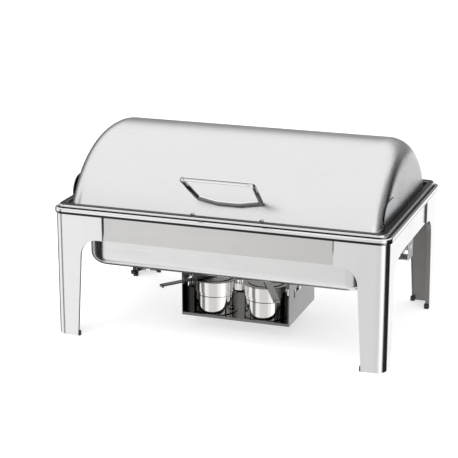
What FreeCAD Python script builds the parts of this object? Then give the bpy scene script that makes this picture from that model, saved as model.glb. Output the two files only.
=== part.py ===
"""Roll-top chafing dish: polished frame on four folded legs, rolling lid, pans, fuel tray and burners.

Lengths are millimetres. +Z is up, +X runs along the dish and -Y is the front, where the lid handle is.
Every piece is drawn about the middle of the rim and then moved back by centre_y, which puts the
origin under the middle of the whole object, handle included.
"""
import FreeCAD, Part
import math
import os
import re
import Sketcher
from FreeCAD import Placement, Rotation, Vector

DIMENSIONS = [
    # frame
    ("half_long", 300.0),       # outer faces of the legs, end to end, halved
    ("half_deep", 195.0),       # outer faces of the legs, front to back, halved
    ("deck", 224.0),            # top of the legs and aprons
    ("centre_y", 18.0),         # how far the rim sits behind the origin
    ("leg_gauge", 1.5),
    ("leg_arm", 91.5),          # length of each arm along the rim
    ("arm_height", 43.0),
    ("leg_top_width", 50.0),
    ("leg_floor_width", 41.0),
    ("leg_bend", 33.0),         # inside curve between a leg and its arm
    ("leg_corner", 18.0),       # outside radius of the folded corner
    ("leg_lift", 1.0),          # sheet edge above the floor
    ("long_flange", 5.0),       # return flange of the arms along the long sides
    ("end_flange", 8.0),        # return flange of the arms along the ends
    ("apron_gauge", 1.0),
    ("apron_hem", 2.0),
    ("apron_recess", 3.0),
    ("slit", 3.0),              # gap between an arm and its apron
    # rim
    ("rim_proud", 3.0),
    ("rim_width", 6.0),
    ("rim_height", 10.0),
    ("rim_corner", 22.0),
    ("rim_round", 2.4),
    ("groove", 2.5),
    ("ring_rise", 16.0),        # top of the inner ring above the deck
    ("ring_gauge", 1.5),
    ("ring_end_edge", 284.5),   # inner edge of the ring at the ends
    ("ring_long_edge", 178.0),  # inner edge of the ring along the front and back
    # lid
    ("lid_radius", 189.0),
    ("lid_half_long", 281.5),
    ("lid_gauge", 1.2),
    ("lid_edge", 228.0),        # lower edge of the closed lid
    ("pivot_height", 166.0),    # axis that the lid rolls about
    ("lid_round_base", 26.0),   # rounding of the lid's ends at the lower edge
    ("lid_round_top", 44.0),    # and at the crown
    ("handle_rod", 4.0),        # rod radius
    ("handle_reach", 80.0),
    ("handle_grip", 127.0),
    ("handle_base", 115.0),
    ("handle_shift", 15.0),
    ("handle_bow", 7.0),
    ("handle_bend", 9.0),
    ("handle_height", 102.0),   # base of the handle above the pivot axis
    ("handle_slope", 37.0),     # degrees above level
    ("handle_nut", 6.0),        # radius of the cap nuts behind the handle
    ("handle_nut_height", 7.0),
    ("lug_spread", 62.0),       # handle middle to each rest lug
    ("lug_width", 5.0),
    ("lug_length", 20.0),
    ("lug_rise", 2.2),
    ("rest_gap", 0.3),          # clearance under the rest lugs, and beside moving faces
    # hinge
    ("arm_gauge", 1.5),
    ("rivet_radius", 4.0),
    ("rivet_head", 1.5),
    ("boss", 14.0),
    ("pin_radius", 4.0),
    ("pin_play", 0.05),
    ("pin_head", 7.0),
    ("pin_head_height", 2.5),
    ("bracket_gauge", 2.0),
    ("bracket_half_width", 16.0),
    ("bracket_seat", 145.0),    # underside of the leg that carries the water pan
    ("bracket_tab", 19.0),
    ("screw_spread", 11.0),
    ("screw_radius", 3.5),
    ("screw_head", 2.4),
    # pans
    ("pan_half_long", 261.0),
    ("pan_half_deep", 158.5),
    ("pan_floor", 121.5),
    ("pan_corner", 42.0),
    ("pan_bottom_round", 20.0),
    ("pan_gauge", 1.0),
    ("pan_top", 223.0),
    ("pan_flange", 11.0),
    ("food_half_long", 265.0),
    ("food_half_deep", 162.5),
    ("food_rim", 12.0),
    ("food_depth", 65.0),
    ("stud_x", 178.0),
    ("stud_y", 125.0),
    ("stud_radius", 3.0),
    ("stud_length", 15.0),
    ("washer_radius", 8.0),
    ("washer_gauge", 2.0),
    ("nut_radius", 7.0),        # across the nut's corners, halved
    ("nut_height", 5.0),
    ("plug_radius", 7.0),
    ("plug_height", 6.0),
    # fuel tray and burners
    ("tray_half", 101.0),
    ("tray_front", -90.0),
    ("tray_back", 68.0),
    ("tray_floor", 24.0),
    ("tray_gauge", 1.2),
    ("tray_lip", 5.0),
    ("tray_side", 88.0),
    ("cup_radius", 40.0),
    ("cup_height", 59.5),
    ("cup_gauge", 1.0),
    ("can_radius", 37.5),
    ("can_height", 52.0),
    ("gel_height", 34.0),
    ("collar_radius", 41.5),
    ("collar_height", 17.7),    # skirt below the collar's top plate
    ("collar_top", 1.3),
    ("mouth_radius", 28.0),
    ("cup_y", -42.0),
    ("cup_left", -53.0),
    ("cup_right", 43.5),
    ("cover_radius", 42.5),
    ("cover_arm", 47.0),        # cup centre to the post that its cover swings on
    ("cover_gauge", 1.5),
    ("cover_step", 1.2),
    ("cover_handle", 115.0),
    ("cover_handle_width", 12.0),
    ("cover_handle_gauge", 2.0),
    ("cover_handle_lip", 2.5),  # turned-down end of the handle
    ("post_radius", 2.5),
    ("post_head", 4.5),
    ("post_head_height", 1.6),
    ("ear_radius", 6.0),
    ("ear_height", 12.0),
    ("ear_root", 30.0),         # cup centre to where the ears start
    ("hanger_gauge", 1.5),
    ("hanger_low", 66.0),
    ("hanger_flange", 14.0),
    ("hanger_margin", 12.0),    # plate beyond the outer pins
    ("hook_height", 80.5),      # pins that the tray hangs on
    ("hook_front", -32.0),
    ("hook_rear", 48.0),
    ("hook_radius", 3.0),
    ("hook_head", 4.8),
    ("hook_length", 3.3),
    ("slot_half_height", 3.5),  # slots in the tray's sides that hook over the pins
    ("slot_reach", 30.0),
    ("slot_entry", 7.0),
    ("slot_drop", 12.0),
]

ALIASES = {alias for alias, _ in DIMENSIONS}
MIRRORS = {"front_left": (-1, -1), "front_right": (1, -1), "rear_left": (-1, 1), "rear_right": (1, 1)}
SIDES = {"left": -1, "right": 1}

document = FreeCAD.newDocument("chafing_dish")
sheet = document.addObject("Spreadsheet::Sheet", "dims")
subparts = []


def fill_sheet():
    for row, (alias, value) in enumerate(DIMENSIONS, start=1):
        sheet.set(f"A{row}", str(value))
        sheet.setAlias(f"A{row}", alias)
    document.recompute()


def full(expression):
    """The expression with each alias spelled as the sheet's cell."""
    return re.sub(r"[a-z_]*[a-z]", lambda word: f"dims.{word[0]}" if word[0] in ALIASES else word[0],
                  str(expression))


def number(expression):
    return float(sheet.evalExpression(full(expression)))


def keep(piece, name):
    """Register a finished sub-part under its name and move it back with the rim."""
    piece.Label = name
    piece.setExpression("Placement.Base.y", full("centre_y"))
    subparts.append(piece)
    return piece


# ---- PartDesign helpers -------------------------------------------------------------------------

def new_body(name):
    return keep(document.addObject("PartDesign::Body", name), name)


def new_sketch(body, role, lift="0"):
    sketch = body.newObject("Sketcher::SketchObject", f"{body.Name}_sketch")
    plane = [item for item in body.Origin.OriginFeatures if item.Role == role][0]
    sketch.AttachmentSupport = (plane, [""])
    sketch.MapMode = "FlatFace"
    sketch.setExpression("AttachmentOffset.Base.z", full(lift))
    return sketch


def constrain(sketch, kind, name, expression, *where):
    index = sketch.addConstraint(Sketcher.Constraint(kind, *where, number(expression)))
    sketch.renameConstraint(index, name)
    return name, full(expression)


def add_outline(sketch, corners, tag=""):
    """Draw a closed outline of (x, y) or (x, y, radius) corners, each held by expressions."""
    first = sketch.GeometryCount
    count = len(corners)
    points = [Vector(number(c[0]), number(c[1]), 0) for c in corners]
    bound = []
    for i in range(count):
        sketch.addGeometry(Part.LineSegment(points[i], points[(i + 1) % count]), False)
    for i in range(count):
        here = first + i
        sketch.addConstraint(Sketcher.Constraint("Coincident", here, 2, first + (i + 1) % count, 1))
    for i, corner in enumerate(corners):
        bound.append(constrain(sketch, "DistanceX", f"x{tag}{i}", corner[0], -1, 1, first + i, 1))
        bound.append(constrain(sketch, "DistanceY", f"y{tag}{i}", corner[1], -1, 1, first + i, 1))
    for i, corner in enumerate(corners):
        if len(corner) < 3:
            continue
        before = sketch.GeometryCount
        sketch.fillet(first + i, 1, number(corner[2]), True, True)
        arcs = [k for k in range(before, sketch.GeometryCount)
                if isinstance(sketch.Geometry[k], Part.ArcOfCircle)]
        bound.append(constrain(sketch, "Radius", f"r{tag}{i}", corner[2], arcs[0]))
    for name, expression in bound:
        sketch.setExpression(f"Constraints.{name}", expression)
    return sketch


def add_circle(sketch, x, y, radius, tag=""):
    centre = Vector(number(x), number(y), 0)
    index = sketch.addGeometry(Part.Circle(centre, Vector(0, 0, 1), number(radius)), False)
    bound = [
        constrain(sketch, "DistanceX", f"cx{tag}", x, -1, 1, index, 3),
        constrain(sketch, "DistanceY", f"cy{tag}", y, -1, 1, index, 3),
        constrain(sketch, "Radius", f"cr{tag}", radius, index),
    ]
    for name, expression in bound:
        sketch.setExpression(f"Constraints.{name}", expression)
    return sketch


def rectangle(low_x, low_y, high_x, high_y, radius=None):
    corners = [(low_x, low_y), (high_x, low_y), (high_x, high_y), (low_x, high_y)]
    return [corner + (radius,) for corner in corners] if radius else corners


def centred(half_x, half_y, radius=None):
    return rectangle(f"-({half_x})", f"-({half_y})", half_x, half_y, radius)


def feature(body, kind, sketch, length, backwards=False):
    """Pad or pocket a sketch; a pocket that removes nothing stops the build."""
    before = body.Shape.Volume if body.Tip else 0.0
    step = body.newObject(f"PartDesign::{kind}", f"{body.Name}_{kind.lower()}")
    step.Profile = sketch
    step.Reversed = backwards
    step.setExpression("Length", full(length))
    document.recompute()
    if kind == "Pocket" and not body.Shape.Volume < before - 1e-6:
        raise RuntimeError(f"{body.Name}: a pocket cuts nothing")
    return step


def pad(body, role, lift, length, *outlines, backwards=False):
    sketch = new_sketch(body, role, lift)
    for i, outline in enumerate(outlines):
        add_outline(sketch, outline, f"p{i}_")
    return feature(body, "Pad", sketch, length, backwards)


def pocket(body, role, lift, length, *outlines, backwards=False):
    sketch = new_sketch(body, role, lift)
    for i, outline in enumerate(outlines):
        add_outline(sketch, outline, f"c{i}_")
    return feature(body, "Pocket", sketch, length, backwards)


def disc(body, role, lift, length, circles, kind="Pad", backwards=False):
    sketch = new_sketch(body, role, lift)
    for i, (x, y, radius) in enumerate(circles):
        add_circle(sketch, x, y, radius, f"o{i}_")
    return feature(body, kind, sketch, length, backwards)


def soften(body, radius, wanted):
    """Fillet the edges for which wanted(edge) holds."""
    base = body.Tip
    names = [f"Edge{i}" for i, edge in enumerate(base.Shape.Edges, start=1) if wanted(edge)]
    step = body.newObject("PartDesign::Fillet", f"{body.Name}_round")
    step.Base = (base, names)
    step.setExpression("Radius", full(radius))
    document.recompute()
    return step


def shell(body, open_height, gauge):
    """Hollow the body inwards to a sheet of the given gauge, open at its top face."""
    base = body.Tip
    names = [f"Face{i}" for i, face in enumerate(base.Shape.Faces, start=1)
             if abs(face.BoundBox.ZMin - number(open_height)) < 1e-4]
    step = body.newObject("PartDesign::Thickness", f"{body.Name}_shell")
    step.Base = (base, names)
    step.Reversed = True
    step.setExpression("Value", full(gauge))
    document.recompute()
    return step


def level_at(height):
    """Edges that lie wholly at one height."""
    return lambda edge: all(abs(v - number(height)) < 1e-4
                            for v in (edge.BoundBox.ZMin, edge.BoundBox.ZMax))


def upright_at(x, y):
    """The vertical edge that passes through (x, y)."""
    def test(edge):
        box = edge.BoundBox
        narrow = box.XLength < 1e-4 and box.YLength < 1e-4
        return narrow and abs(box.XMin - number(x)) < 1e-3 and abs(box.YMin - number(y)) < 1e-3
    return test


# ---- Part helpers -------------------------------------------------------------------------------

def primitive(kind, name, place, **sizes):
    """A Part primitive with its sizes and its base point bound to the sheet."""
    item = document.addObject(f"Part::{kind}", name)
    for key, expression in sizes.items():
        item.setExpression(key, full(expression))
    for axis, expression in zip("xyz", place):
        item.setExpression(f"Placement.Base.{axis}", full(expression))
    return item


def box(name, low, size):
    return primitive("Box", name, low, Length=size[0], Width=size[1], Height=size[2])


def cut(name, base, tool):
    item = document.addObject("Part::Cut", name)
    item.Base, item.Tool = base, tool
    return item


def compound(name, pieces):
    item = document.addObject("Part::Compound", name)
    item.Links = pieces
    return item


def shaped(name, shape):
    """A sub-part whose solid is made directly, from values read from the sheet."""
    piece = document.addObject("Part::Feature", name)
    piece.Shape = shape
    return keep(piece, name)


def round_bar(start, finish, radius):
    run = finish - start
    return Part.makeCylinder(radius, run.Length, start, run)


# ---- rim and aprons -----------------------------------------------------------------------------

def make_rim_bead():
    body = new_body("rim_bead")
    long, deep = "half_long + rim_proud", "half_deep + rim_proud"
    pad(body, "XY_Plane", "deck", "rim_height", centred(long, deep, "rim_corner"))
    pocket(body, "XY_Plane", "deck", "rim_height",
           centred(f"{long} - rim_width", f"{deep} - rim_width", "rim_corner - rim_width"),
           backwards=True)
    soften(body, "rim_round", level_at("deck + rim_height"))
    lower = level_at("deck")
    inner_long, inner_deep = number(f"{long} - rim_width"), number(f"{deep} - rim_width")

    def outer_lower(edge):
        span = edge.BoundBox
        reach_x = max(abs(span.XMin), abs(span.XMax))
        reach_y = max(abs(span.YMin), abs(span.YMax))
        return lower(edge) and (reach_x > inner_long + 1 or reach_y > inner_deep + 1)
    soften(body, "rim_round * 0.5", outer_lower)


def make_inner_ring():
    body = new_body("inner_ring")
    foot_long = "half_long + rim_proud - rim_width"
    foot_deep = "half_deep + rim_proud - rim_width"
    wall_long, wall_deep = f"{foot_long} - groove", f"{foot_deep} - groove"
    corner = "rim_corner - rim_width"
    pad(body, "XY_Plane", "deck", "ring_rise", centred(wall_long, wall_deep, f"{corner} - groove"))
    pad(body, "XY_Plane", "deck", "ring_gauge", centred(foot_long, foot_deep, corner))
    pocket(body, "XY_Plane", "deck", "ring_rise - ring_gauge",
           centred(f"{wall_long} - ring_gauge", f"{wall_deep} - ring_gauge",
                   f"{corner} - groove - ring_gauge"), backwards=True)
    pocket(body, "XY_Plane", "deck", "ring_rise", centred("ring_end_edge", "ring_long_edge", "9"),
           backwards=True)
    soften(body, "ring_gauge * 0.8", level_at("deck + ring_rise"))


def make_apron(name, along, half_length, face):
    """A shallow folded apron. along is X or Y, and face is the signed place of its outer face."""
    body = new_body(name)
    low, hem, gauge = "deck - arm_height", "apron_hem", "apron_gauge"
    sign = 1 if number(face) > 0 else -1
    outline = rectangle(f"-({half_length})", low, half_length, "deck")
    inside = rectangle(f"-({half_length}) + {gauge}", f"{low} + {gauge}", f"{half_length} - {gauge}", "deck")
    role = "XZ_Plane" if along == "X" else "YZ_Plane"
    normal = -1 if along == "X" else 1
    inwards = -sign * normal
    place = f"{normal} * ({face})"
    pad(body, role, place, hem, outline, backwards=inwards < 0)
    pocket(body, role, f"{place} + {inwards} * {gauge}", hem, inside, backwards=inwards > 0)


def make_aprons():
    for name, sign in (("front_apron", -1), ("rear_apron", 1)):
        make_apron(name, "X", "half_long - leg_arm - slit", f"{sign} * (half_deep - apron_recess)")
    for name, sign in (("left_apron", -1), ("right_apron", 1)):
        make_apron(name, "Y", "half_deep - leg_arm - slit", f"{sign} * (half_long - apron_recess)")


# ---- legs ---------------------------------------------------------------------------------------

def arm_outline(sign, half, inset="0"):
    """One folded face of a leg: the leg, its inside curve and its arm along the rim.

    inset moves the inner edge back by a sheet's thickness, so that the same shape also hollows
    the fold.
    """
    corner = f"{sign} * {half}"
    arm_end = f"{sign} * ({half} - leg_arm + {inset})"
    inner_top = f"{sign} * ({half} - leg_top_width + {inset})"
    inner_floor = f"{sign} * ({half} - leg_floor_width + {inset})"
    under_arm = f"deck - arm_height + {inset}"
    knee = "deck - arm_height - leg_bend"
    return [
        (corner, "leg_lift"), (inner_floor, "leg_lift"), (inner_top, knee),
        (inner_top, under_arm, f"leg_bend - 1 + {inset}"), (arm_end, under_arm),
        (arm_end, "deck"), (corner, "deck"),
    ]


def make_leg(name, side, end):
    """side is -1 at the left, end is -1 at the front."""
    body = new_body(f"{name}_leg")
    gauge = "leg_gauge"
    front = f"{-end} * half_deep"
    across = f"{side} * half_long"
    pad(body, "XZ_Plane", front, "long_flange", arm_outline(side, "half_long"),
        backwards=end < 0)
    pad(body, "YZ_Plane", across, "end_flange", arm_outline(end, "half_deep"),
        backwards=side > 0)
    hollow(body, "XZ_Plane", f"{front} + {end} * {gauge}", "long_flange", side, "half_long", end > 0)
    hollow(body, "YZ_Plane", f"{across} - {side} * {gauge}", "end_flange", end, "half_deep", side < 0)
    inner = (f"{side} * (half_long - {gauge})", f"{end} * (half_deep - {gauge})")
    soften(body, f"leg_corner - {gauge}", upright_at(*inner))
    soften(body, "leg_corner", upright_at(f"{side} * half_long", f"{end} * half_deep"))


def hollow(body, role, lift, flange, sign, half, backwards):
    """Cut one face of a leg back to its sheet, leaving the return flange."""
    _, floor, knee, bend, arm_end, _, _ = arm_outline(sign, half, "leg_gauge")
    corner = f"{sign} * ({half} - leg_gauge)"
    outline = [
        (corner, "leg_lift - 1"), (floor[0], "leg_lift - 1"), knee, bend, arm_end,
        (arm_end[0], "deck + 1"), (corner, "deck + 1"),
    ]
    pocket(body, role, lift, f"{flange} - leg_gauge", outline, backwards=backwards)


def make_foot_pads(name, side, end):
    """Two rubber shoes that cap the lower ends of a leg's return flanges."""
    play, wall, rise = "0.35", "1.5", "9"
    lean = "0.6"                # how far the flange's edge leans outwards within the shoe
    pieces = []
    for axis in "XY":
        half = "half_long" if axis == "X" else "half_deep"
        other = "half_deep" if axis == "X" else "half_long"
        flange = "long_flange" if axis == "X" else "end_flange"
        sign, cross = (side, end) if axis == "X" else (end, side)
        edge = f"{half} - leg_floor_width"
        inner, outer = f"{edge} - {lean} - {play} - 2", f"{edge} + leg_gauge + {play} + 3"
        back, sheet_face = f"{other} - {flange} - {wall}", f"{other} - leg_gauge"
        shoe = shoe_block(f"{name}_shoe_{axis}", axis, sign, cross, inner, outer, back, sheet_face, "0", rise)
        slot = shoe_block(f"{name}_slot_{axis}", axis, sign, cross, f"{edge} - {lean} - {play}",
                          f"{edge} + leg_gauge + {play}", f"{other} - {flange} - 0.1",
                          f"{sheet_face} + 1", "leg_lift", rise)
        pieces.append(cut(f"{name}_cap_{axis}", shoe, slot))
    keep(compound(f"{name}_foot_pads", pieces), f"{name}_foot_pads")


def shoe_block(name, axis, sign, cross, inner, outer, back, face, low, high):
    span = f"({outer}) - ({inner})"
    depth = f"({face}) - ({back})"
    start = inner if sign > 0 else f"-({outer})"
    base = back if cross > 0 else f"-({face})"
    if axis == "X":
        return box(name, (start, base, low), (span, depth, f"{high} - ({low})"))
    return box(name, (base, start, low), (depth, span, f"{high} - ({low})"))


# ---- lid ----------------------------------------------------------------------------------------

def half_barrel(toward, inset, floor):
    """The front (-1) or back (1) half of the lid's block, its end rounding growing towards the crown."""
    radius = number(f"lid_radius - {inset}")
    half = number(f"lid_half_long - {inset}")
    centre, low = number("pivot_height"), number(floor)
    start_angle = math.asin((low - centre) / radius)
    middle_angle = (start_angle + math.pi / 2) / 2
    start, middle, crown = [
        Vector(-half, toward * radius * math.cos(angle), centre + radius * math.sin(angle))
        for angle in (start_angle, middle_angle, math.pi / 2)
    ]
    foot = Vector(-half, 0, low)
    outline = Part.Wire([
        Part.Arc(start, middle, crown).toShape(),
        Part.LineSegment(crown, foot).toShape(),
        Part.LineSegment(foot, start).toShape(),
    ])
    solid = Part.Face(outline).extrude(Vector(2 * half, 0, 0))
    base_round = number(f"lid_round_base - {inset}")
    top_round = number(f"lid_round_top - {inset}")
    for place in (-half, half):
        arc = [edge for edge in solid.Edges
               if edge.BoundBox.XLength < 1e-3 and abs(edge.BoundBox.XMin - place) < 1e-3
               and edge.Length > radius * 0.9][0]
        inset_corner = half - 0.18 * top_round
        probe = Vector(math.copysign(inset_corner, place), toward, centre + radius - 0.18 * top_round)
        rounded = solid.makeFillet(base_round, top_round, [arc])
        if rounded.isInside(probe, 1e-6, True):
            rounded = solid.makeFillet(top_round, base_round, [arc])
        solid = rounded
    return solid


def barrel(inset, floor):
    front, back = [half_barrel(toward, inset, floor) for toward in (-1, 1)]
    return front.fuse(back).removeSplitter()


def make_lid_shell():
    outer = barrel("0", "lid_edge")
    inner = barrel("lid_gauge", "lid_edge - 5")
    shaped("lid_shell", outer.cut(inner))


def tangent_path(points, radii):
    """Straight runs joined by arcs through a closed loop of points."""
    count = len(points)
    legs = []
    for i in range(count):
        before = (points[i - 1] - points[i]).normalize()
        after = (points[(i + 1) % count] - points[i]).normalize()
        half_angle = before.getAngle(after) / 2
        trim = radii[i] / math.tan(half_angle)
        middle = (before + after).normalize()
        centre = points[i] + middle * (radii[i] / math.sin(half_angle))
        legs.append((points[i] + before * trim, centre - middle * radii[i], points[i] + after * trim))
    edges = []
    for i in range(count):
        edges.append(Part.Arc(*legs[i]).toShape())
        edges.append(Part.LineSegment(legs[i][2], legs[(i + 1) % count][0]).toShape())
    return Part.Wire(edges)


def handle_frame():
    """Base point, outward direction and along-lid direction of the handle, in the YZ plane."""
    seat = number("lid_radius + handle_rod")
    height = number("handle_height")
    reach = math.sqrt(seat ** 2 - height ** 2)
    base = Vector(number("handle_shift"), -reach, number("pivot_height") + height)
    slope = math.radians(number("handle_slope"))
    outward = Vector(0, -math.cos(slope), math.sin(slope))
    down = Vector(0, -height / seat, -math.sqrt(1 - (height / seat) ** 2))
    return base, outward, down


def make_lid_handle():
    base, outward, down = handle_frame()
    grip, foot = number("handle_grip") / 2, number("handle_base") / 2
    reach, bow, bend = number("handle_reach"), number("handle_bow"), number("handle_bend")
    along = Vector(1, 0, 0)
    points = [
        base - along * grip + outward * reach, base + along * grip + outward * reach,
        base + along * foot, base + along * foot * 0.35 + down * bow,
        base - along * foot * 0.35 + down * bow, base - along * foot,
    ]
    path = tangent_path(points, [bend, bend, bend * 0.6, 60, 60, bend * 0.6])
    start = path.Edges[0].firstVertex(True).Point
    heading = path.Edges[0].tangentAt(path.Edges[0].FirstParameter)
    ring = Part.Wire([Part.Circle(start, heading, number("handle_rod")).toShape()])
    shaped("lid_handle", path.makePipeShell([ring], True, True))


def lid_drum(inset):
    """A long cylinder of the lid's radius about the pivot axis, for trimming what touches the lid."""
    long = number("lid_half_long") + 5
    return Part.makeCylinder(number(f"lid_radius - {inset}"), 2 * long,
                             Vector(-long, 0, number("pivot_height")), Vector(1, 0, 0))


def make_handle_nuts():
    """Cap nuts inside the lid, behind the two ends of the handle's base."""
    base, _, _ = handle_frame()
    centre = Vector(0, 0, number("pivot_height"))
    normal = (Vector(0, base.y, base.z) - centre).normalize()
    nuts = []
    for sign in (-1, 1):
        x = base.x + sign * number("handle_base / 2 - 8")
        seat = Vector(x, 0, centre.z) + normal * number("lid_radius")
        nut = round_bar(seat, seat - normal * number("handle_nut_height"), number("handle_nut"))
        nuts.append(nut.common(lid_drum("lid_gauge")))
    shaped("handle_nuts", Part.makeCompound(nuts))


def make_rest_lugs():
    """Two small lugs that land on the ring's front edge and hold the lid closed at its rest height."""
    lugs = []
    low = number("deck + ring_rise + rest_gap")
    front = number("ring_long_edge + 2.5")
    width = number("lug_width")
    for sign in (-1, 1):
        x = number(f"handle_shift + {sign} * lug_spread - lug_width / 2")
        block = Part.makeBox(width, number("lug_length"), number("lug_rise"), Vector(x, -front, low))
        lugs.append(block.cut(lid_drum("0")))
    shaped("rest_lugs", Part.makeCompound(lugs))


def make_hinge_arm(name, side):
    """Flat plate outside the lid's end wall, from its front corner down to the pivot pin."""
    body = new_body(f"hinge_arm_{name}")
    outline = [
        ("-150", "222", "8"), ("-150", "278.5", "30"), ("-91", "279", "60"), ("boss", "248", "12"),
        ("boss", "pivot_height - boss", "boss - 0.1"), ("-boss", "pivot_height - boss", "boss - 0.1"),
        ("-boss - 6", "214", "20"),
    ]
    lift = f"{side} * lid_half_long"
    pad(body, "YZ_Plane", lift, "arm_gauge", outline, backwards=side < 0)
    disc(body, "YZ_Plane", lift, "arm_gauge + 1", [("0", "pivot_height", "pin_radius + pin_play")],
         kind="Pocket", backwards=side > 0)


def make_arm_rivets():
    heads = []
    inside = number("lid_half_long - lid_gauge")
    face = inside - number("rivet_head")
    for side in SIDES.values():
        for y, z in ((-126, 246), (-92, 257), (-40, 248)):
            heads.append(round_bar(Vector(side * inside, y, z), Vector(side * face, y, z),
                                   number("rivet_radius")))
    shaped("arm_rivets", Part.makeCompound(heads))


def make_pivot(name, side):
    """Bracket under the ring, carrying the pivot pin above and the end of the water pan below."""
    face = "half_long - apron_recess - apron_hem"
    gauge = "bracket_gauge"
    bracket = new_body(f"pivot_bracket_{name}")
    seat, wall = "bracket_seat", "pan_half_long"
    outline = [(f"{side} * ({x})", z) for x, z in (
        (face, "deck"), (face, seat), (wall, seat), (wall, f"{seat} + bracket_tab"),
        (f"{wall} + {gauge}", f"{seat} + bracket_tab"), (f"{wall} + {gauge}", f"{seat} + {gauge}"),
        (f"{face} - {gauge}", f"{seat} + {gauge}"), (f"{face} - {gauge}", "deck"))]
    pad(bracket, "XZ_Plane", "-bracket_half_width", "2 * bracket_half_width", outline)
    disc(bracket, "YZ_Plane", f"{side} * ({face})", gauge, [("0", "pivot_height", "pin_radius + 0.02")],
         kind="Pocket", backwards=side < 0)

    axis = number("pivot_height")
    arm_in, arm_out = number("lid_half_long"), number("lid_half_long + arm_gauge")
    gap, radius, head = number("rest_gap"), number("pin_radius"), number("pin_head")
    cap_height, outer = number("pin_head_height"), number(face)

    def at(x):
        return Vector(side * x, 0, axis)
    cap = round_bar(at(arm_in - gap - cap_height), at(arm_in - gap), head)
    shank = round_bar(at(arm_in - gap - cap_height / 2), at(outer), radius)
    shaped(f"pivot_pin_{name}", cap.fuse(shank))
    ring = round_bar(at(arm_out + gap), at(outer - number(gauge)), head)
    bore = round_bar(at(arm_out), at(outer), radius + 0.02)
    shaped(f"pivot_spacer_{name}", ring.cut(bore))


def make_bracket_screws():
    heads = []
    seat = number("pan_half_long + bracket_gauge")
    face = seat + number("screw_head")
    height = number("bracket_seat + 14")
    spread = number("screw_spread")
    for side in SIDES.values():
        for y in (-spread, spread):
            heads.append(round_bar(Vector(side * seat, y, height), Vector(side * face, y, height),
                                   number("screw_radius")))
    shaped("bracket_screws", Part.makeCompound(heads))


# ---- pans ---------------------------------------------------------------------------------------

def make_pan(name, half_long, half_deep, corner, floor, top, gauge, bottom_round, flange, flange_corner):
    """A drawn pan: rounded box, hollowed to its sheet, with a flat flange round its mouth."""
    body = new_body(name)
    depth = f"({top}) - ({floor})"
    pad(body, "XY_Plane", floor, depth, centred(half_long, half_deep, corner))
    soften(body, bottom_round, level_at(floor))
    inner = (f"{half_long} - {gauge}", f"{half_deep} - {gauge}", f"{corner} - {gauge}")
    shell(body, top, gauge)
    pad(body, "XY_Plane", top, gauge,
        centred(f"{half_long} + {flange}", f"{half_deep} + {flange}", flange_corner), centred(*inner),
        backwards=True)


def make_pans():
    """The food pan's rim rests on the water pan's flange."""
    make_pan("water_pan", "pan_half_long", "pan_half_deep", "pan_corner", "pan_floor", "pan_top",
             "pan_gauge", "pan_bottom_round", "pan_flange", "pan_corner + pan_flange")
    make_pan("food_pan", "food_half_long - food_rim", "food_half_deep - food_rim", "pan_corner - 6",
             "pan_top + pan_gauge - food_depth", "pan_top + pan_gauge", "pan_gauge",
             "pan_bottom_round - 4", "food_rim", "14")


def make_pan_fittings():
    """Heater studs, their washers and nuts, and the drain plug, all under the water pan."""
    floor, x, y = number("pan_floor"), number("stud_x"), number("stud_y")
    places = [Vector(-x, -y, floor), Vector(x, y, floor)]
    down = Vector(0, 0, -1)
    length, radius = number("stud_length"), number("stud_radius")
    studs = [round_bar(place, place + down * length, radius) for place in places]
    shaped("heater_studs", Part.makeCompound(studs))

    nuts = []
    corner, height = number("nut_radius"), number("nut_height")
    for place in places:
        bore = round_bar(place, place + down * (length + height), radius + 0.02)
        washer = round_bar(place, place + down * number("washer_gauge"), number("washer_radius"))
        top = place + down * (length - 3)
        hexagon = [top + Vector(corner * math.cos(k * math.pi / 3), corner * math.sin(k * math.pi / 3), 0)
                   for k in range(6)]
        nut = Part.Face(Part.makePolygon(hexagon + hexagon[:1])).extrude(down * height)
        nuts += [washer.cut(bore), nut.cut(bore)]
    shaped("stud_nuts", Part.makeCompound(nuts))

    plug = Vector(-x + 28, -y - 4, floor)
    shaped("drain_plug", round_bar(plug, plug + down * number("plug_height"), number("plug_radius")))


# ---- fuel tray ----------------------------------------------------------------------------------

def make_fuel_tray():
    body = new_body("fuel_tray")
    half, gauge, floor = "tray_half", "tray_gauge", "tray_floor"
    top = f"{floor} + tray_side"
    outline = [
        (f"-{half}", floor), (half, floor), (half, top), (f"{half} - {gauge}", top),
        (f"{half} - {gauge}", f"{floor} + {gauge}"), (f"-{half} + {gauge}", f"{floor} + {gauge}"),
        (f"-{half} + {gauge}", top), (f"-{half}", top),
    ]
    pad(body, "XZ_Plane", "-tray_back", "tray_back - tray_front", outline)
    lips = [rectangle(f"-{half} + {gauge}", low, f"{half} - {gauge}", high) for low, high in (
        ("tray_front", f"tray_front + {gauge}"), (f"tray_back - {gauge}", "tray_back"))]
    pad(body, "XY_Plane", floor, "tray_lip", *lips)
    slots = []
    for hook in ("hook_front", "hook_rear"):
        far, entry = f"{hook} - slot_reach", f"{hook} - slot_reach + slot_entry"
        low, high = "hook_height - slot_half_height", "hook_height + slot_half_height"
        slots.append([
            (far, "hook_height - slot_drop"), (entry, "hook_height - slot_drop"), (entry, low),
            (f"{hook} + 5", low), (f"{hook} + 5", high), (far, high),
        ])
    pocket(body, "YZ_Plane", half, f"2 * {half}", *slots)


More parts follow.
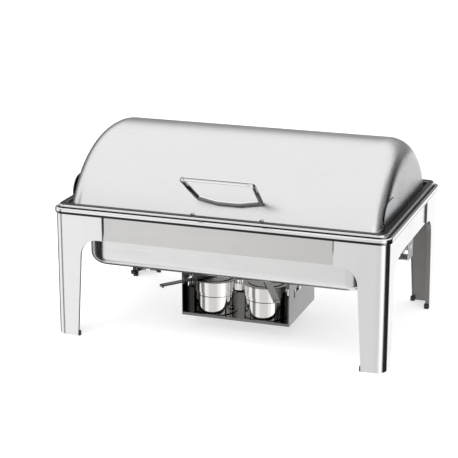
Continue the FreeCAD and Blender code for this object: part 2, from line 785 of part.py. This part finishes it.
def make_tray_hanger(name, side):
    """Angle plate under the water pan, inside the tray's side."""
    body = new_body(f"tray_hanger_{name}")
    outer, gauge = "tray_half - tray_gauge", "hanger_gauge"
    outline = [(f"{side} * ({x})", z) for x, z in (
        (outer, "hanger_low"), (outer, "pan_floor"), (f"{outer} - hanger_flange", "pan_floor"),
        (f"{outer} - hanger_flange", f"pan_floor - {gauge}"),
        (f"{outer} - {gauge}", f"pan_floor - {gauge}"), (f"{outer} - {gauge}", "hanger_low"))]
    pad(body, "XZ_Plane", "-hook_rear - hanger_margin", "hook_rear - hook_front + 2 * hanger_margin",
        outline)


def make_tray_pins():
    pins = []
    plate, height = number("tray_half - tray_gauge"), number("hook_height")
    length = number("hook_length")
    for side in SIDES.values():
        for hook in ("hook_front", "hook_rear"):
            def at(x):
                return Vector(side * x, number(hook), height)
            shank = round_bar(at(plate), at(plate + length - 1), number("hook_radius"))
            pins.append(shank.fuse(round_bar(at(plate + length - 2), at(plate + length),
                                             number("hook_head"))))
    shaped("tray_pins", Part.makeCompound(pins))


# ---- burners ------------------------------------------------------------------------------------

def handle_strip():
    """Flat strip along +X from its root, with its far end turned down."""
    length, width = number("cover_handle"), number("cover_handle_width")
    gauge, lip = number("cover_handle_gauge"), number("cover_handle_lip")
    strip = Part.makeBox(length, width, gauge, Vector(0, -width / 2, 0))
    strip = strip.fuse(Part.makeBox(gauge, width, lip + gauge, Vector(length - gauge, -width / 2, -lip)))
    fold = [edge for edge in strip.Edges if edge.BoundBox.YLength > width - 0.1
            and edge.BoundBox.XMin > length - 0.1 and edge.BoundBox.ZMin > gauge - 0.1]
    return strip.makeFillet(gauge - 0.1, fold)


def make_burner(name, turn):
    """Cup, collar, fuel can and the cover that swings on a post beside the cup.

    turn is the direction of the cover's handle, in degrees from the front towards the right.
    """
    x, y, base = f"cup_{name}", "cup_y", "tray_floor + tray_gauge"
    gauge = "cup_gauge"
    cup = new_body(f"burner_cup_{name}")
    disc(cup, "XY_Plane", base, "cup_height", [(x, y, "cup_radius")])
    disc(cup, "XY_Plane", f"{base} + cup_height", f"cup_height - {gauge}",
         [(x, y, f"cup_radius - {gauge}")], kind="Pocket")
    soften(cup, "2", level_at(base))

    can_base = f"{base} + {gauge}"
    can = new_body(f"fuel_can_{name}")
    disc(can, "XY_Plane", can_base, "can_height", [(x, y, "can_radius")])
    disc(can, "XY_Plane", f"{can_base} + can_height", "can_height - 0.6", [(x, y, "can_radius - 0.6")],
         kind="Pocket")
    gel = new_body(f"fuel_gel_{name}")
    disc(gel, "XY_Plane", f"{can_base} + 0.6", "gel_height", [(x, y, "can_radius - 0.7")])

    post = f"{x} + cover_arm"
    rim = f"{base} + cup_height"
    collar = new_body(f"burner_collar_{name}")
    skirt = f"{rim} - collar_height"
    disc(collar, "XY_Plane", skirt, "collar_height + collar_top", [(x, y, "collar_radius")])
    ear = rectangle(f"{x} + ear_root", f"{y} - ear_radius", post, f"{y} + ear_radius")
    pad(collar, "XY_Plane", skirt, "ear_height", ear)
    disc(collar, "XY_Plane", skirt, "ear_height", [(post, y, "ear_radius")])
    disc(collar, "XY_Plane", rim, "collar_height + 1", [(x, y, "cup_radius + 0.1")], kind="Pocket")
    disc(collar, "XY_Plane", f"{rim} + collar_top", "collar_top + 1", [(x, y, "mouth_radius")], kind="Pocket")

    seat = f"{rim} + collar_top + rest_gap"
    cover = new_body(f"burner_cover_{name}")
    disc(cover, "XY_Plane", seat, "cover_gauge", [(x, y, "cover_radius")])
    pad(cover, "XY_Plane", seat, "cover_gauge", ear)
    disc(cover, "XY_Plane", seat, "cover_gauge", [(post, y, "ear_radius")])
    disc(cover, "XY_Plane", f"{seat} + cover_gauge", "cover_step", [(x, y, "cover_radius - 9")])
    disc(cover, "XY_Plane", f"{seat} + cover_gauge", "cover_gauge + 1", [(post, y, "post_radius + pin_play")],
         kind="Pocket")

    handle = shaped(f"cover_handle_{name}", handle_strip())
    handle.Placement = Placement(Vector(0, 0, 0), Rotation(Vector(0, 0, 1), turn - 90))
    places = {"x": x, "y": f"{y} + centre_y", "z": f"{seat} + cover_gauge + cover_step"}
    for axis, place in places.items():
        handle.setExpression(f"Placement.Base.{axis}", full(place))

    foot = Vector(number(post), number(y), number(f"{skirt} + ear_height"))
    neck = Vector(foot.x, foot.y, number(f"{seat} + cover_gauge + rest_gap"))
    crown = neck + Vector(0, 0, number("post_head_height"))
    stem = round_bar(foot, neck, number("post_radius"))
    shaped(f"cover_post_{name}", stem.fuse(round_bar(neck, crown, number("post_head"))))


# ---- whole object -------------------------------------------------------------------------------

def build():
    fill_sheet()
    make_rim_bead()
    make_inner_ring()
    make_aprons()
    for name, (side, end) in MIRRORS.items():
        make_leg(name, side, end)
        make_foot_pads(name, side, end)
    make_lid_shell()
    make_lid_handle()
    make_handle_nuts()
    make_rest_lugs()
    make_arm_rivets()
    for name, side in SIDES.items():
        make_hinge_arm(name, side)
        make_pivot(name, side)
        make_tray_hanger(name, side)
    make_bracket_screws()
    make_pans()
    make_pan_fittings()
    make_fuel_tray()
    make_tray_pins()
    make_burner("left", -38)
    make_burner("right", 26.5)
    document.recompute()


def export():
    for item in document.Objects:
        if {"Invalid", "Error"} & set(item.State):
            raise RuntimeError(f"{item.Label} did not compute: {item.State}")
    for piece in subparts:
        if piece.Shape.isNull() or not piece.Shape.isValid():
            raise RuntimeError(f"{piece.Label} has no valid shape")
    os.makedirs("parts", exist_ok=True)
    for piece in subparts:
        piece.Shape.exportStep(f"parts/{piece.Label}.step")
        print(f"{piece.Label}: {len(piece.Shape.Solids)} solid(s), {piece.Shape.Volume / 1000:.2f} cm3")


build()
export()
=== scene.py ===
"""Roll-top chafing dish in satin and polished stainless steel, on a pale studio floor."""

import math

import bpy
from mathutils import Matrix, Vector


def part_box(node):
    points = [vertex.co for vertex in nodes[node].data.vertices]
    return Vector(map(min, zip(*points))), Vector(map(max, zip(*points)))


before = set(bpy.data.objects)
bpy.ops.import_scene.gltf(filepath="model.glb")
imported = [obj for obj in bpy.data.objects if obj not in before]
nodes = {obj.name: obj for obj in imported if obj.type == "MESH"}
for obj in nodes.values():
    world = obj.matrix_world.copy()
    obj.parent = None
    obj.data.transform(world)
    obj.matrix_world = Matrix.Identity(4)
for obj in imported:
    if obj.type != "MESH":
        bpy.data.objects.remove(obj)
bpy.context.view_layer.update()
MM = 0.001
CORNERS = {"front_left": (-1, -1), "front_right": (1, -1), "rear_left": (-1, 1), "rear_right": (1, 1)}


# ---- shader helpers -------------------------------------------------------------------------------

class Graph:
    """Short forms for making and joining the nodes of one shader tree."""

    def __init__(self, tree):
        self.tree = tree
        tree.nodes.clear()

    def node(self, kind, **settings):
        made = self.tree.nodes.new(f"ShaderNode{kind}")
        for key, value in settings.items():
            setattr(made, key, value)
        return made

    def feed(self, socket, value):
        """Join another socket to this one, or set it to a number or colour."""
        if isinstance(value, bpy.types.NodeSocket):
            self.tree.links.new(value, socket)
        else:
            socket.default_value = value

    def math(self, operation, first, second=0.0):
        made = self.node("Math", operation=operation)
        self.feed(made.inputs[0], first)
        self.feed(made.inputs[1], second)
        return made.outputs[0]

    def stretched(self, scale):
        """Object coordinates, scaled along each axis."""
        place = self.node("TexCoord").outputs["Object"]
        mapping = self.node("Mapping")
        self.feed(mapping.inputs["Vector"], place)
        self.feed(mapping.inputs["Scale"], scale)
        return mapping.outputs["Vector"]

    def noise(self, vector, scale, detail=3.0, roughness=0.5):
        made = self.node("TexNoise")
        self.feed(made.inputs["Vector"], vector)
        self.feed(made.inputs["Scale"], scale)
        self.feed(made.inputs["Detail"], detail)
        self.feed(made.inputs["Roughness"], roughness)
        return made.outputs["Fac"]

    def span(self, value, low, high, to_low=0.0, to_high=1.0, smooth=False):
        made = self.node("MapRange", interpolation_type="SMOOTHSTEP" if smooth else "LINEAR")
        for socket, given in zip(made.inputs, (value, low, high, to_low, to_high)):
            self.feed(socket, given)
        return made.outputs["Result"]

    def blend(self, factor, first, second):
        made = self.node("Mix", data_type="RGBA")
        self.feed(made.inputs["Factor"], factor)
        self.feed(made.inputs["A"], first)
        self.feed(made.inputs["B"], second)
        return made.outputs["Result"]

    def bumps(self, height, depth, strength=1.0):
        made = self.node("Bump")
        self.feed(made.inputs["Height"], height)
        self.feed(made.inputs["Distance"], depth)
        self.feed(made.inputs["Strength"], strength)
        return made.outputs["Normal"]


def grey(level, warmth=0.0):
    """A near-neutral metal colour; warmth above 0 is yellower, below 0 bluer."""
    return (level * (1 + warmth), level, level * (1 - warmth), 1.0)


PAINTED_SHADE_LINE = 0.03     # level of the painted shade lines drawn in grooves and under edges
EDGE_BLUR = 0.4     # millimetres over which such a line fades
# noise scales that draw the grain out along one direction, or round a turned piece
ALONG = {"X": (2.0, 420.0, 420.0), "Z": (420.0, 420.0, 2.0), "round": (2.0, 2.0, 420.0)}


def metal(name, level, roughness, grain=None, grain_depth=0.004, warmth=0.0, smudge=0.05, inner=None,
          bands=(), ends=None, upper=None):
    """Stainless steel. grain is the way it is brushed, and smudge how unevenly it shines.

    inner gives the signs of a leg's outward directions: faces that look the other way are the
    sheet's unpolished side, rougher, and darker with painted shade. bands are strips of another
    level round the piece, painted shade lines and painted highlights, each (lowest, highest, level)
    in millimetres of height, and fainter on its ends. ends is the level of painted shade on faces
    that look along X and how squarely they must. upper is the level of a painted highlight on
    faces that look up.
    """
    material = bpy.data.materials.new(name)
    material.use_nodes = True
    graph = Graph(material.node_tree)
    shader = graph.node("BsdfPrincipled")
    graph.feed(shader.inputs["Metallic"], 1.0)
    even = graph.stretched((1.0, 1.0, 1.0))
    cloud = graph.noise(even, 9.0, 4.0, 0.6)
    wiped = graph.noise(graph.stretched((3.0, 14.0, 14.0)), 6.0, 5.0, 0.65)
    shine = graph.math("ADD", graph.span(cloud, 0.3, 0.7, -smudge, smudge),
                       graph.span(wiped, 0.3, 0.7, -smudge * 0.5, smudge * 0.5))
    shade = graph.span(cloud, 0.25, 0.75, 0.0, 1.0)
    if grain:
        streaks = graph.noise(graph.stretched(ALONG[grain]), 1.0, 6.0, 0.7)
        shine = graph.math("ADD", shine, graph.span(streaks, 0.3, 0.7, -0.04, 0.05))
        shade = graph.math("ADD", graph.math("MULTIPLY", shade, 0.4), graph.math("MULTIPLY", streaks, 0.6))
        height = streaks
    else:
        fine = graph.noise(even, 1400.0, 2.0)
        height = graph.math("ADD", fine, graph.math("MULTIPLY", cloud, 2.0))
    colour = graph.blend(shade, grey(level * 0.95, warmth), grey(min(1.0, level * 1.04), warmth * 0.6))
    rough = graph.math("ADD", shine, roughness)
    # painted shade on a leg's inner faces, which are also rougher
    if inner:
        outward = graph.math("MAXIMUM", graph.math("MULTIPLY", facing(graph, "X"), inner[0]),
                             graph.math("MULTIPLY", facing(graph, "Y"), inner[1]))
        outside = graph.span(outward, 0.02, 0.15)
        colour = graph.blend(outside, grey(0.21, 0.02), colour)
        rough = graph.math("ADD", rough, graph.span(outside, 0.0, 1.0, 0.25, 0.0))
    # painted shade on faces that look along X
    if ends is not None:
        painted_end_level, turned = ends
        sideways = graph.math("ABSOLUTE", facing(graph, "X"))
        colour = graph.blend(graph.span(sideways, turned, turned + 0.06), colour, grey(painted_end_level))
    # painted highlight on faces that look up
    if upper is not None:
        colour = graph.blend(graph.span(facing(graph, "Z"), 0.6, 0.85), colour, grey(upper))
    # painted shade lines and painted highlights, in strips at the given heights
    for low, high, painted_band_level in bands:
        place = graph.node("SeparateXYZ")
        graph.feed(place.inputs[0], graph.node("TexCoord").outputs["Object"])
        z = place.outputs[2]
        over = graph.span(z, (low - EDGE_BLUR) * MM, (low + EDGE_BLUR) * MM)
        under = graph.span(z, (high - EDGE_BLUR) * MM, (high + EDGE_BLUR) * MM, 1.0, 0.0)
        squarely = graph.span(graph.math("ABSOLUTE", facing(graph, "X")), 0.3, 0.8, 1.0, 0.45)
        painted_strip = graph.math("MULTIPLY", graph.math("MULTIPLY", over, under), squarely)
        colour = graph.blend(painted_strip, colour, grey(painted_band_level))
    graph.feed(shader.inputs["Base Color"], colour)
    graph.feed(shader.inputs["Roughness"], graph.math("MAXIMUM", rough, 0.03))
    graph.feed(shader.inputs["Normal"], graph.bumps(height, grain_depth * MM))
    graph.feed(graph.node("OutputMaterial").inputs["Surface"], shader.outputs[0])
    return material


def facing(graph, axis):
    """How far the surface looks along one axis, -1 to 1."""
    normal = graph.node("SeparateXYZ")
    graph.feed(normal.inputs[0], graph.node("NewGeometry").outputs["True Normal"])
    return normal.outputs["XYZ".index(axis)]


def moulded(name, colour, roughness, grain_scale, depth, coat=0.0, transmission=0.0):
    """Rubber, nylon or gel: an even colour with a fine moulded grain and slow cloudy variation."""
    material = bpy.data.materials.new(name)
    material.use_nodes = True
    graph = Graph(material.node_tree)
    shader = graph.node("BsdfPrincipled")
    even = graph.stretched((1.0, 1.0, 1.0))
    cloud = graph.noise(even, 60.0, 4.0, 0.6)
    grain = graph.noise(even, grain_scale, 3.0, 0.6)
    dark = tuple(channel * 0.8 for channel in colour) + (1.0,)
    light = tuple(min(1.0, channel * 1.15) for channel in colour) + (1.0,)
    graph.feed(shader.inputs["Base Color"], graph.blend(cloud, dark, light))
    graph.feed(shader.inputs["Roughness"], graph.span(grain, 0.3, 0.7, roughness - 0.06, roughness + 0.06))
    graph.feed(shader.inputs["Normal"], graph.bumps(grain, depth * MM))
    graph.feed(shader.inputs["Coat Weight"], coat)
    graph.feed(shader.inputs["Transmission Weight"], transmission)
    graph.feed(graph.node("OutputMaterial").inputs["Surface"], shader.outputs[0])
    return material


# ---- materials ------------------------------------------------------------------------------------

def dress(material, *names):
    for name in names:
        piece = nodes[name]
        piece.data.materials.clear()
        piece.data.materials.append(material)


def dress_nodes():
    # the lid's end walls, which look along X, carry painted shade
    dress(metal("satin_lid_steel", 0.70, 0.28, "X", 0.0015, 0.0, 0.015, ends=(0.47, 0.93)), "lid_shell")
    dress(metal("hinge_plate_steel", 0.26, 0.22, "Z", 0.003, -0.05), "hinge_arm_left", "hinge_arm_right")
    # a painted shade line along the bead's lower lip
    dress(metal("polished_bead_steel", 0.76, 0.07, bands=[(223.0, 228.6, PAINTED_SHADE_LINE)]), "rim_bead")
    # painted shade lines round the ring: in the groove just above the bead and along its rounded top edge
    dress(metal("polished_ring_steel", 0.92, 0.36, None, 0.003, -0.015,
                bands=[(225.0, 235.4, PAINTED_SHADE_LINE), (239.0, 241.0, PAINTED_SHADE_LINE)]), "inner_ring")
    # the handle's chrome is painted dark for its dark reflections, near black on the arms that look along X,
    # with painted highlights on faces that look up and on a band high on the handle
    dress(metal("handle_chrome", 0.20, 0.07, ends=(0.012, 0.55), upper=0.85,
                bands=[(298.0, 317.5, 0.8)]), "lid_handle")
    dress(metal("fastener_chrome", 0.62, 0.14), "handle_nuts", "rest_lugs", "arm_rivets", "bracket_screws",
          "tray_pins", "pivot_pin_left", "pivot_pin_right", "cover_post_left", "cover_post_right")
    # one apron steel in a shaded and a lit copy: the end aprons' higher level is painted light
    dress(metal("apron_steel", 0.59, 0.20, "round", 0.003, 0.016), "front_apron", "rear_apron")
    dress(metal("end_apron_steel", 0.76, 0.20, "round", 0.003, 0.01), "left_apron", "right_apron")
    # the legs' inner faces are painted dark as painted shade, on the rougher unpolished side of the sheet
    for name, outward in CORNERS.items():
        steel = metal(f"{name}_leg_steel", 0.74, 0.17, "Z", 0.002, 0.0, 0.04, inner=outward)
        dress(steel, f"{name}_leg")
    dress(metal("bracket_steel", 0.9, 0.55, "Z"), "pivot_bracket_left", "pivot_bracket_right")
    dress(metal("water_pan_steel", 0.72, 0.22, "round", 0.003, 0.005), "water_pan")
    dress(metal("food_pan_steel", 0.68, 0.24, "round", 0.003), "food_pan")
    dress(metal("drain_steel", 0.8, 0.16), "drain_plug")
    dress(metal("stud_steel", 0.07, 0.35), "heater_studs", "stud_nuts")
    dress(metal("tray_steel", 0.16, 0.14, "round", 0.003, 0.02, 0.06), "fuel_tray", "tray_hanger_left",
          "tray_hanger_right")
    # a painted shadow line round the cups and collars, under the collar's lower edge
    cup_low, cup_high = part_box("burner_cup_left")
    seam_share, seam_half = 0.58, 0.7
    seam_shadow = (cup_low[2] + seam_share * (cup_high[2] - cup_low[2])) / MM
    dress(metal("cup_steel", 0.72, 0.06, "round", 0.002, 0.025,
                bands=[(seam_shadow - seam_half, seam_shadow + seam_half, 0.04)]),
          "burner_cup_left", "burner_cup_right", "burner_collar_left", "burner_collar_right")
    dress(metal("cover_steel", 0.20, 0.16, None, 0.004, 0.02), "burner_cover_left", "burner_cover_right",
          "cover_handle_left", "cover_handle_right")
    dress(metal("tinplate", 0.62, 0.28, "round", 0.004, 0.03), "fuel_can_left", "fuel_can_right")
    dress(moulded("gel", (0.55, 0.32, 0.62), 0.25, 300.0, 0.05, coat=0.5, transmission=0.3),
          "fuel_gel_left", "fuel_gel_right")
    dress(moulded("nylon", (0.78, 0.77, 0.73), 0.5, 1500.0, 0.02), "pivot_spacer_left",
          "pivot_spacer_right")
    dress(moulded("rubber", (0.025, 0.025, 0.026), 0.7, 1800.0, 0.05),
          *[f"{name}_foot_pads" for name in CORNERS])


# ---- studio ---------------------------------------------------------------------------------------

def studio_sky():
    """Soft white surroundings, brighter overhead, with dark screens that give polished steel its lines.

    Each screen is (azimuth, half width, lowest, highest, softness, brightness), in degrees, with
    azimuth 0 along +X and 90 along +Y, away from the front.
    """
    world = bpy.data.worlds.new("studio")
    bpy.context.scene.world = world
    world.use_nodes = True
    graph = Graph(world.node_tree)
    direction = graph.node("SeparateXYZ")
    graph.feed(direction.inputs[0], graph.node("TexCoord").outputs["Generated"])
    x, y, z = direction.outputs
    level = graph.span(z, math.sin(math.radians(2)), math.sin(math.radians(50)), 1.08, 1.16, smooth=True)
    floor_side = graph.span(z, math.sin(math.radians(-9)), math.sin(math.radians(-2)), 1.0, 0.0, smooth=True)
    level = mixed(graph, floor_side, level, 1.16)
    flat = graph.math("SQRT", graph.math("ADD", graph.math("MULTIPLY", x, x), graph.math("MULTIPLY", y, y)))
    screens = [
        (0, 180, -5, 3.5, 2.5, 0.10),
        (-86, 22, -80, -6, 7, 0.86),
        (100, 70, -2, 23, 9, 0.26),
        (78, 11, -60, -4, 4, 1.2),
        (25, 39, -80, 14, 7, 0.02),
        (138, 26, -80, 8, 6, 0.10),
        (12, 24, 10, 32, 7, 0.30),
        (-36, 8, -60, 25, 6, 1.6),
        (-140, 8, -60, 30, 5, 0.28),
    ]
    for azimuth, half, lowest, highest, soft, brightness in screens:
        turn = math.radians(azimuth)
        along = graph.math("ADD", graph.math("MULTIPLY", x, math.cos(turn)),
                           graph.math("MULTIPLY", y, math.sin(turn)))
        aim = graph.math("DIVIDE", along, flat)
        wide = 1.0
        if half < 180:
            wide = graph.span(aim, math.cos(math.radians(half + soft)), math.cos(math.radians(half - soft)),
                              smooth=True)
        above = graph.span(z, math.sin(math.radians(lowest - soft)), math.sin(math.radians(lowest + soft)),
                           smooth=True)
        below = graph.span(z, math.sin(math.radians(highest - soft)), math.sin(math.radians(highest + soft)),
                           1.0, 0.0, smooth=True)
        mask = graph.math("MULTIPLY", graph.math("MULTIPLY", above, below), wide)
        level = mixed(graph, mask, level, brightness)
    background = graph.node("Background")
    graph.feed(background.inputs["Strength"], level)
    graph.feed(background.inputs["Color"], (1.0, 1.0, 1.0, 1.0))
    graph.feed(graph.node("OutputWorld").inputs["Surface"], background.outputs[0])


def mixed(graph, factor, first, second):
    """first where factor is 0 and second where it is 1."""
    kept = graph.math("MULTIPLY", first, graph.math("SUBTRACT", 1.0, factor))
    return graph.math("ADD", kept, graph.math("MULTIPLY", factor, second))


def pale_floor():
    mesh = bpy.data.meshes.new("floor")
    far = 30.0
    mesh.from_pydata([(-far, -far, 0), (far, -far, 0), (far, far, 0), (-far, far, 0)], [], [(0, 1, 2, 3)])
    floor = bpy.data.objects.new("floor", mesh)
    bpy.context.scene.collection.objects.link(floor)
    material = bpy.data.materials.new("pale_floor")
    material.use_nodes = True
    graph = Graph(material.node_tree)
    shader = graph.node("BsdfPrincipled")
    graph.feed(shader.inputs["Base Color"], (0.6, 0.6, 0.6, 1.0))
    graph.feed(shader.inputs["Roughness"], 0.8)
    graph.feed(shader.inputs["Specular IOR Level"], 0.1)
    graph.feed(shader.inputs["Emission Color"], (1.0, 1.0, 1.0, 1.0))
    graph.feed(shader.inputs["Emission Strength"], 0.62)
    graph.feed(graph.node("OutputMaterial").inputs["Surface"], shader.outputs[0])
    mesh.materials.append(material)
    floor.visible_glossy = False


def softbox(name, place, aim, size, power):
    light = bpy.data.lights.new(name, "AREA")
    light.shape = "RECTANGLE"
    light.size, light.size_y = size
    light.energy = power
    lamp = bpy.data.objects.new(name, light)
    bpy.context.scene.collection.objects.link(lamp)
    lamp.location = place
    lamp.rotation_euler = (Vector(aim) - Vector(place)).to_track_quat("-Z", "Y").to_euler()
    lamp.visible_camera = False
    lamp.visible_glossy = False


def camera():
    """Stands 2.8 m off, a little to the right and above, with a long lens."""
    data = bpy.data.cameras.new("camera")
    data.sensor_width = 36.0
    data.lens = 119.95
    eye = bpy.data.objects.new("camera", data)
    bpy.context.scene.collection.objects.link(eye)
    eye.location = (0.8435, -2.4958, 0.9560)
    eye.rotation_euler = (math.radians(73.476), 0.0, math.radians(19.425))
    bpy.context.scene.camera = eye


dress_nodes()
studio_sky()
pale_floor()
softbox("key", (-0.6, -0.9, 2.6), (0.0, 0.0, 0.3), (1.6, 1.2), 26.0)
camera()
bpy.context.scene.view_settings.view_transform = "Standard"
